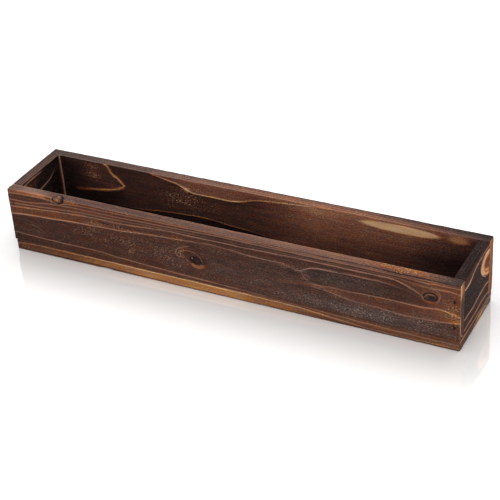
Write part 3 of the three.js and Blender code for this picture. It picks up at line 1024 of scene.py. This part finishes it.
# along mm, across mm, radius, radius, tilt in degrees, mm proud
FRONT_LUMPS = [
    (-227.4, 90, 7.8, 5.2, 0, 1.7), (-34.3, 44.1, 8.2, 5.6, -18, -1.2), (269.3, 67.2, 9.0, 6.0, 12, -.35),
    (269.9, 65.8, 4.5, 3.0, 12, .12), (302, 52, 2.5, 1.4, 0, -.7), (301, 43, 3, 1.8, 0, -.7),
    (-126, 36.8, 2.2, 2, 0, -.3),
]
front_face = face_of(
    [
        ROOT_LINE, WEDGE_LOWER_LINE, WEDGE_UPPER_LINE, STRIPE_LINE, KNOT_LINE, FIRST_TIGHT_LINE,
        SECOND_TIGHT_LINE, TOP_LINE,
    ],
    wall_height, seed=11, ash=.02, fleck=.45, strokes=FRONT_STROKES, patches=FRONT_PATCHES,
    islands=FRONT_ISLANDS, knots=[RING_KNOT, PROUD_KNOT, PIN_KNOT], lumps=FRONT_LUMPS,
)
print("front face has", len(front_face["lines"]), "grain lines and", len(front_face["knots"]), "knots")

# %% Front board: its top edge
FRONT_RIM_LINES = [
    [(-305, -55, .20, .44, .46), (-240, -55.5, .2, .40, .42), (-100, -54.6, .15, .36, .40),
     (40, -55, .15, .38, .36), (110, -54.6, .2, .38, .24), (200, -54.2, .2, .40, .20),
     (270, -54.6, .1, .36, .2), (290, -55, 0, .24, .24), (305, -55, 0, .22, .22)],
    [(-305, -51, .1, .40, .42), (-150, -52, .1, .32, .34), (0, -51, .1, .38, .36),
     (150, -52, .15, .42, .40), (265, -51, .15, .42, .42), (290, -51, .1, .24, .24),
     (305, -51, 0, .22, .22)],
    [(-305, -47, .1, .38, .40), (-150, -47.5, .1, .34, .32), (0, -47, .15, .40, .38),
     (150, -47.5, .2, .46, .42), (260, -47, .2, .46, .46), (288, -47, .1, .24, .24),
     (305, -47, 0, .22, .22)],
    [(-305, -44.2, .4, .40, .38), (-150, -44, .3, .38, .34), (0, -44.4, .35, .42, .40),
     (150, -44, .4, .50, .46), (260, -44, .4, .52, .48), (288, -44, .1, .26, .26), (305, -44, 0, .22, .22)],
]
# Ash of .42 greys this top edge, and part of that grey is painted sheen, the grey that a top edge catches
# from above.
front_rim = face_of(
    FRONT_RIM_LINES, front_thickness, seed=12, ash=.42, fleck=.5,
    patches=[
        (235, -50, 50, 12, .05, -.4, 1.2, 0), (-268, -50, 26, 16, .08, .3, 0, 0),
        (50, -50, 150, 14, .045, 0, 0, 0), (-254, -57, 17, 3.4, .24, -.3, 0, 0),
        (300, -50, 12, 12, 0, .3, -.8, 0),
    ],
    islands=[
        (-227.6, -57, 8.4, 10.0, 0, .12, .2, .1), (-228.4, -57, 6.0, 7.6, 0, .42, .5, .4),
        # The small pale grey spot at -227.6 mm is a painted highlight on the crest of the proud knot.
        (-227.6, -52.6, 1.5, 1.7, 0, .74, .6, .6),
    ],
    lumps=[(-227.4, -57, 7.8, 9.2, 0, 1.7)],
)
print("lines on the front's top edge:", len(FRONT_RIM_LINES))

# %% Front board: its right end, and the board itself
ALONG_X, ALONG_Y = 0, 1  # which way the grain of a board runs
WALL_CELL = (1.2, 1.2, 1.2)  # mm, about a pixel of the picture
IN_A_JOINT = {"pitch": 5, "scorch": .36}  # the grain of the faces that are hidden in a joint

FRONT_END_LINES = [
    [(14, -56, .5, .34, .4), (34, -56.2, .6, .30, .5), (48, -56, .5, .20, .46), (66, -55.8, .5, .24, .5),
     (76, -55.6, .9, .60, .7), (90, -55.5, .9, .70, .7)],
    [(14, -51, .1, .26, .30), (40, -51.5, .1, .20, .24), (60, -51, .1, .18, .2), (68, -51, .2, .30, .28),
     (76, -51, .5, .62, .60), (90, -51.5, .5, .68, .68)],
    [(14, -46, .1, .26, .22), (40, -46.5, .1, .24, .20), (60, -46, .1, .20, .18), (74, -46, .4, .34, .30),
     (90, -46.5, .5, .44, .56)],
    [(14, -44, .4, .34, .3), (40, -44, .4, .34, .28), (60, -44, .3, .30, .24), (90, -44, .4, .4, .4)],
]
front_right_end = face_of(
    FRONT_END_LINES, front_thickness, seed=13, ash=0, fleck=.5,
    strokes=[(.9, .8, [(42, -56), (30, -55.6), (22, -54), (17, -50), (14, -45)])],
)
make_board(
    "front_board", WALL_CELL, ALONG_X,
    {
        "-Y": front_face, "+Z": front_rim, "+X": front_right_end,
        "-X": ordinary_face(14, wall_height, front_thickness, pitch=4, scorch=.26, fleck=.5),
        "+Y": ordinary_face(
            15, long_way, wall_height, pitch=11, scorch=.14, ash=.1, knots=[(-120, 60, 8, 6, 0)],
        ),
        "-Z": ordinary_face(16, long_way, front_thickness, **IN_A_JOINT),
    },
    board_fir,
)

# %% [markdown]
# ## The bottom board
#
# The flame only skims the edge of the bottom board, so it stays golden, and one bright line starts at the
# seam and slopes down out of the board. Four drainage holes are drilled along its middle.

# %% Drainage holes
DRAIN_RADIUS = 5.0  # mm
DRAIN_PLACES = (-210, -70, 70, 210)  # mm along the board
DRAIN_MIDDLE, DRAIN_CUT = 7, 20  # mm, the middle height of the cutters and their length

drains = bmesh.new()
for x in DRAIN_PLACES:
    bmesh.ops.create_cone(
        drains, cap_ends=True, segments=48, radius1=DRAIN_RADIUS, radius2=DRAIN_RADIUS, depth=DRAIN_CUT,
        matrix=Matrix.Translation((x, 0, DRAIN_MIDDLE)),
    )
print("drainage holes:", len(DRAIN_PLACES))

# %% Bottom board: the lines of its front edge
BASE_EDGE_LOW_LINE = [
    (-303, 4, .10, .35, .32), (-200, 4.5, .15, .52, .38), (-100, 3, .20, .68, .52), (0, 2.4, .20, .70, .52),
    (90, 2, .10, .58, .42), (150, .5, 0, .34, .30), (220, .3, 0, .26, .26), (305, .3, 0, .32, .30),
]
BASE_EDGE_BRIGHT_LINE = [
    (-303, 9.5, .30, .30, .36), (-262, 12.2, .60, .32, .40), (-200, 12.4, .80, .36, .54),
    (-109, 12.1, 1.0, .38, .68), (-38, 12.2, 1.0, .38, .68), (25, 11.8, 1.0, .38, .65),
    (58, 11.1, .90, .38, .58), (92, 10.6, .85, .38, .56), (113, 9.4, .75, .42, .56),
    (135, 7.6, .75, .43, .46), (167, 4.4, .65, .44, .32), (195, 2.4, .50, .43, .26),
    (231, 1.9, .40, .44, .25), (269, 3.1, .45, .45, .36), (305, 3.5, .40, .45, .40),
]
BASE_EDGE_HIGH_LINE = [
    (-303, 13.6, 0, .3, .3), (60, 13.4, .1, .36, .38), (120, 12.4, .2, .38, .40), (190, 9.5, .40, .40, .44),
    (250, 8.5, .40, .40, .46), (305, 8.5, .35, .42, .46),
]
print("points on the edge's bright line:", len(BASE_EDGE_BRIGHT_LINE))

# %% Bottom board: its faces, and the board itself
BASE_CELL = (1.2, 3.0, 1.2)  # mm, coarser across the board, where only the dark floor shows
CHIP_PLACE = -167  # mm, where a splinter broke out of the lower front edge

base_length, base_depth, base_thickness = spans("bottom_board")
base_underside = ordinary_face(
    26, base_length, base_depth, pitch=12, scorch=.40, ash=.1, knots=[(150, -20, 9, 6, 10)],
    lumps=[(CHIP_PLACE, -57, 9, 3.2, 0, -1.6)],
)
base_front_edge = face_of(
    [BASE_EDGE_LOW_LINE, BASE_EDGE_BRIGHT_LINE, BASE_EDGE_HIGH_LINE], base_thickness,
    seed=21, ash=.14, fleck=.5,
    patches=[(-300, 6, 3, 20, -.1, 0, 0, 0), (-260, 6, 60, 14, -.02, -.2, .3, 0)],
    lumps=[(CHIP_PLACE, 0, 9, 2.0, 0, -1.8), (60, 0, 5, 1.2, 0, -.8)],
)
base_right_end = face_of(
    [
        [(-57, 3, .2, .38, .36), (-9, 2.4, .2, .36, .34), (20, 2, .2, .32, .24), (55, 3, .3, .3, .24)],
        [(-57, 12.4, .9, .40, .38), (-16, 12, .9, .36, .36), (20, 12, .7, .26, .30), (55, 12, .5, .3, .3)],
    ],
    base_thickness, seed=22, ash=.25, fleck=.4,
    strokes=[
        (.9, .9, [(-11, 1.4), (-6, 4), (6, 6.8), (22, 8.2), (31, 7.6), (34, 5.4)]),
        (.7, .8, [(36, 4), (41, 7), (47, 8.6), (52, 8)]), (.5, .7, [(8, 2.6), (18, 4.4), (27, 4.6)]),
    ],
    islands=[(12, 4.2, 20, 3.6, 8, .62, .3, 0)],
    patches=[(42, 6, 12, 8, .05, 0, 1.4, 0)],
)
make_board(
    "bottom_board", BASE_CELL, ALONG_X,
    {
        "-Y": base_front_edge, "+X": base_right_end,
        "-X": ordinary_face(23, base_depth, base_thickness, pitch=5, scorch=.32),
        "+Y": ordinary_face(24, base_length, base_thickness, pitch=4, scorch=.36, ash=.1),
        "+Z": ordinary_face(25, base_length, base_depth, pitch=12, scorch=.16, ash=.15),
        "-Z": base_underside,
    },
    base_fir, [drains],
)

# %% [markdown]
# ## The back board
#
# Its inside shows best. From left to right it goes from near black to warm brown, a long bright line curls
# down from the rim, and near the right end the flame missed a lens of bare wood. The near black at the left
# end and along the bottom is char with the shade of the inside corners painted in, and the paler, redder
# colour all over the inside is painted light, the warm light that bounces about inside the box.

# %% Back board: the lines of its inside
# Near the left end and below the lowest line the scorch stays near black: char, with the shade of the inside
# corners painted in.
LOW_GOLD_LINE = [
    (-305, 30, 0, .05, .04), (-230, 30.5, 0, .08, .04), (-178, 31.1, .60, .24, .08),
    (-134, 35.6, .85, .27, .09), (-100, 38, .90, .28, .09), (-82, 38.8, .90, .28, .09),
    (-60, 37.7, .90, .28, .09), (-38, 35.4, .80, .29, .09), (-16, 33.6, .55, .30, .05),
    (6, 30.9, .30, .32, .06), (60, 27, 0, .42, .20), (160, 24, 0, .38, .20), (240, 22, 0, .24, .14),
    (305, 22, 0, .14, .10),
]
LOOP_LOWER_LINE = [
    (-305, 42.5, 0, .09, .08), (-272, 44, 0, .12, .08), (-247, 46.8, 0, .22, .09),
    (-226, 49.7, 0, .29, .11), (-208, 53.6, 0, .33, .13), (-198, 57.6, 0, .34, .17),
    (-193.5, 61.5, 0, .34, .25), (-190, 62.4, 0, .29, .29), (-180, 62.4, 0, .29, .29), (0, 58, 0, .36, .36),
    (80, 56, 0, .58, .54), (200, 52, 0, .45, .43), (260, 52, 0, .24, .22), (305, 50, 0, .18, .18),
]
LOOP_UPPER_LINE = [
    (-305, 96, 0, .09, .09), (-226, 94, 0, .27, .33), (-219, 89.4, 0, .28, .33), (-214, 84, 0, .28, .34),
    (-210, 77.5, 0, .28, .34), (-202, 71.9, 0, .29, .34), (-196, 66.1, 0, .29, .34),
    (-193.5, 63, 0, .29, .33), (-190, 62.8, 0, .27, .27), (-180, 62.8, 0, .29, .29), (0, 59, 0, .36, .36),
    (80, 57, 0, .58, .58), (200, 54, 0, .48, .48), (260, 54, 0, .26, .26), (305, 52, 0, .20, .20),
]
HIGH_GOLD_LINE = [
    (-305, 99, 0, .20, .05), (-160, 93, .40, .36, .28), (-149, 89.2, .9, .40, .29),
    (-126, 84, 1.0, .46, .29), (-113, 81.6, 1.1, .50, .28), (-104, 78, 1.2, .54, .27),
    (-96, 74.4, 1.2, .54, .27), (-87, 72.2, 1.2, .54, .26), (-62, 71.8, 1.1, .54, .26),
    (-44, 71.4, 1.1, .54, .25), (-26, 73, 1.1, .54, .25), (-15, 75.6, 1.0, .52, .26),
    (-5, 79, .95, .50, .30), (4, 81.3, .90, .50, .34), (23, 83.8, .90, .50, .40), (44, 85.9, .90, .52, .48),
    (65, 87.4, .80, .56, .54), (82, 88.2, .40, .58, .60), (110, 90, 0, .60, .62), (200, 94, 0, .60, .62),
    (260, 94, 0, .44, .46), (305, 95, 0, .30, .30),
]
print("points on the two gold lines:", len(LOW_GOLD_LINE), "and", len(HIGH_GOLD_LINE))

# %% Back board: the inside
back_thickness = spans("back_board")[1]
# An ash of -.5 all over makes the inside paler and redder: painted light, the warm light that bounces about
# inside the box.
back_inside = face_of(
    [LOW_GOLD_LINE, LOOP_LOWER_LINE, LOOP_UPPER_LINE, HIGH_GOLD_LINE], wall_height,
    seed=31, ash=-.5, fleck=.65,
    strokes=[
        (1.2, 2.1, [
            (-223, 93), (-219, 89.4), (-214, 84), (-210, 77.5), (-202, 71.9), (-196, 66.1), (-193, 62.4),
            (-198, 57.6), (-208, 53.8), (-226, 49.7), (-247, 46.8), (-266, 44.4),
        ]),
        (1.7, 1.2, [(-290.2, 94), (-290, 70), (-289.4, 50), (-289.6, 30), (-290, 10)]),
    ],
    patches=[
        # The two patches at -290 mm darken and grey the left end: painted shade of the corner.
        (-240, 75, 12, 12, .11, -.05, 2.5, 0), (-290, 60, 28, 60, -.06, 0, -.3, 0),
        (-290, 60, 10, 90, 0, .5, 0, 0), (-108, 62, 28, 15, .02, -.05, 2.2, 0),
        (-82, 56, 30, 9, 0, 0, .8, 0), (-212, 58, 16, 5, .04, 0, .8, 0), (74, 83, 34, 6, .10, 0, -.2, 0),
        (60, 76, 60, 8, 0, 0, .5, 0), (230, 62, 50, 10, 0, 0, .6, 0), (262, 46, 60, 16, -.10, 0, 0, 0),
        (-99, 75.6, 5, 3.2, .42, 0, 0, 0), (262, 88, 30, 3, .12, 0, 0, 0),
    ],
    islands=[(193, 81.7, 51, 5.6, 0, 1.0, .35, 0), (266.5, 82.3, 13, 5, 0, .72, 1.1, -.2)],
)
print("strokes inside the back:", len(back_inside["strokes"]))

# %% Back board: its top edge and right end, and the board itself
BACK_RIM_LINES = [
    [(-305, 44, .2, .28, .3), (-200, 44, .2, .32, .32), (-60, 44.3, .4, .42, .40),
     (100, 44.2, .45, .44, .42), (220, 44, .3, .38, .38), (305, 44, .1, .2, .2)],
    [(-305, 48, .1, .28, .28), (-200, 48.4, .15, .3, .31), (-60, 48, .3, .42, .40),
     (100, 48.4, .3, .42, .42), (220, 48, .2, .34, .36), (305, 48, 0, .18, .2)],
    [(-305, 53, .1, .26, .28), (-200, 52.6, .15, .28, .3), (-60, 53, .2, .32, .38), (100, 53, .2, .30, .38),
     (220, 52.6, .1, .20, .26), (305, 53, 0, .13, .15)],
]
# Ash of .6 greys this top edge, and part of that grey is painted sheen, the grey that a top edge catches from
# above.
back_rim = face_of(
    BACK_RIM_LINES, back_thickness, seed=32, ash=.6, fleck=.7,
    patches=[
        (-50, 56.4, 400, .9, -.12, .1, 0, 0), (80, 50, 180, 20, .07, -.36, .2, 0),
        (250, 50, 60, 20, 0, -.25, 0, 0), (290, 50, 24, 12, 0, .2, -.6, 0),
    ],
)
back_right_end = face_of(
    [
        [(14, 45, .4, .60, .55), (50, 44.8, .4, .60, .55), (90, 45, .4, .64, .60)],
        [(14, 50, .2, .50, .55), (50, 50.5, .2, .52, .56), (90, 50, .3, .56, .60)],
        [(14, 55, .3, .36, .46), (50, 55, .3, .36, .50), (90, 54.6, .4, .4, .54)],
    ],
    back_thickness, seed=33, ash=0, fleck=.3,
)
make_board(
    "back_board", WALL_CELL, ALONG_X,
    {
        "-Y": back_inside, "+Z": back_rim, "+X": back_right_end,
        "-X": ordinary_face(34, wall_height, back_thickness, pitch=4, scorch=.30),
        "+Y": ordinary_face(
            35, long_way, wall_height, pitch=8.5, scorch=.28, ash=.25, fleck=.6,
            knots=[(-170, 62, 9, 6, -8), (60, 34, 8, 6.5, 5), (226, 70, 6, 4, 0)],
            patches=[(-170, 62, 26, 12, .04, 0, .3, .5), (60, 34, 24, 12, .04, 0, .3, .5)],
        ),
        "-Z": ordinary_face(36, long_way, back_thickness, **IN_A_JOINT),
    },
    board_fir,
)

# %% [markdown]
# ## The end boards
#
# The torch lingered on both ends, so they are close to black, and only a few summer lines and one
# flame-shaped lens of heartwood show through. The inside of the left end is darker still: char, with the
# shade of the inside corner painted in.

# %% End boards: the faces that show
right_outside = face_of(
    [
        [(-43, 19.4, 1.1, .21, .25), (-26, 20.6, 1.2, .21, .25), (0, 21.2, 1.3, .21, .25),
         (20, 22.6, 1.3, .20, .25), (43, 20.4, 1.2, .19, .25)],
        [(-43, 34.6, 1.2, .11, .21), (-26, 34, 1.3, .10, .21), (-12, 33.6, 1.3, .10, .21),
         (0, 35.2, 1.3, .10, .21), (14, 37, 1.3, .10, .21), (28, 37.6, 1.3, .10, .21),
         (43, 35, 1.2, .11, .21)],
        [(-43, 75.4, 1.6, .27, .12), (-31, 75.2, 1.7, .27, .11), (-21, 77.2, 1.7, .27, .11),
         (-15, 81, 1.5, .27, .12), (-7, 84, 1.4, .26, .13), (8, 85.4, 1.3, .26, .16),
         (24, 86.4, 1.2, .26, .22), (43, 86.4, 1.0, .26, .26)],
    ],
    wall_height, seed=41, ash=.0, fleck=.6,
    strokes=[
        (.95, .8, [(48, 78.6), (41, 80.2), (31, 82), (20, 81), (14, 76.6), (11.8, 70.9), (14.8, 63.3),
                   (21.4, 55), (29.3, 50.2), (38.4, 48.4), (48, 47)]),
        (-.5, 1.2, [(43, 67.5), (36, 68), (28.8, 66), (26.2, 61.7), (29.6, 56.6), (36, 53.6), (43, 52.6)]),
    ],
    islands=[(41, 65, 29, 16.4, -12, .90, .10, 0), (44, 65, 20, 9.6, -14, .54, .4, 0)],
)
# The inside of the left end is kept near black: char, with the shade of the inside corner painted in.
left_inside = face_of(
    [
        [(-43, 56, .5, .14, .04), (-20, 60.4, .9, .12, .04), (-5, 63.7, 1.2, .08, .04),
         (17, 67.4, 1.1, .05, .03), (30, 75, .20, .04, .03), (43, 80, 0, .03, .03)],
        [(-43, 85, 1.2, .30, .20), (-20, 87, 1.3, .30, .20), (-6, 87, 1.1, .24, .10),
         (6, 86.4, 0, .08, .04), (43, 96, 0, .05, .04)],
    ],
    wall_height, seed=42, ash=.0, fleck=.4,
    patches=[(42.8, 52, 1.5, 90, .75, 0, 0, 0), (-26, 78, 14, 6, .10, 0, 1.4, 0)],
)
print("grain lines on the ends:", len(right_outside["lines"]), "and", len(left_inside["lines"]))

# %% End boards: their top edges, and the boards themselves
RIM_LINES = (2, 5.5, 9, 12.4)  # mm from the rim's left edge
RIM_DRIFT = .6  # mm by which they move over the box's width
RIM_CHANGE = .02  # of scorch, from one end of a line to the other
END_CELL = (1.6, 1.1, 1.1)  # mm


def end_rim(node, seed, scorch, glow, ash, fleck):
    """The top edge of an end board, with its grain along the box's width."""
    thickness, (front, back), _ = spans(node)
    lines = [
        [(front, thickness[0] + place, glow, scorch, scorch + RIM_CHANGE),
         (back, thickness[0] + place + RIM_DRIFT, glow, scorch + RIM_CHANGE, scorch)]
        for place in RIM_LINES
    ]
    # The ash greys the top edge, and part of that grey is painted sheen, the grey that a top edge catches
    # from above.
    return face_of(lines, thickness, seed, ash, fleck)


def make_end_board(node, faces, joint_seed):
    """Builds an end board. Its two end grain faces and its lower edge are hidden in joints."""
    thickness, width, height = spans(node)
    hidden = {"-Y": (height, thickness), "+Y": (height, thickness), "-Z": (width, thickness)}
    for seed, (side, (reach, edges)) in enumerate(hidden.items(), joint_seed):
        faces[side] = ordinary_face(seed, reach, edges, **IN_A_JOINT)
    make_board(node, END_CELL, ALONG_Y, faces, end_fir)


end_width = spans("left_end_board")[1]
make_end_board("left_end_board", {
    "+X": left_inside,
    "+Z": end_rim("left_end_board", seed=43, scorch=.21, glow=.3, ash=.35, fleck=.5),
    "-X": ordinary_face(44, end_width, wall_height, pitch=9, scorch=.20, ash=.4, knots=[(12, 60, 7, 5, 0)]),
}, joint_seed=45)
make_end_board("right_end_board", {
    "+X": right_outside,
    "+Z": end_rim("right_end_board", seed=48, scorch=.085, glow=.04, ash=.3, fleck=.3),
    "-X": ordinary_face(49, end_width, wall_height, pitch=12, scorch=.10, ash=.1),
}, joint_seed=50)

# %% [markdown]
# ## The brads
#
# A brad is galvanised steel wire. It was in the wood when the torch passed, so its zinc is dull and sooty,
# with fine drawing lines along the wire. The frame's own brads have the right shape and stay.

# %% Brad wire
WIRE_LINE = 0.12  # mm between drawing lines
SOOT_PATCH = 0.8  # mm

wire, new, fill_inputs, surface = empty_material("galvanised wire, sooted by the torch")
place = new("TexCoord").outputs["Object"]
drawn = new("VectorMath", [place, (1 / MM / WIRE_LINE,) * 3], "MULTIPLY")
drawn = new("TexNoise", {"Vector": drawn, "Scale": 1, "Detail": 2})
soot = new("TexNoise", {"Vector": place, "Scale": 1 / MM / SOOT_PATCH, "Detail": 3})
fill_inputs(surface, {
    "Base Color": new("ValToRGB", [soot], stops=[(0.35, "#3a3836"), (0.65, "#9a9b9b")]),
    "Roughness": new("MapRange", {"Value": drawn, "To Min": 0.3, "To Max": 0.55}),
    "Metallic": 1,
})
for name in brad_names:
    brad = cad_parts[name]
    brad.data.materials.clear()
    brad.data.materials.append(wire)
print(len(brad_names), "brads in sooted wire")
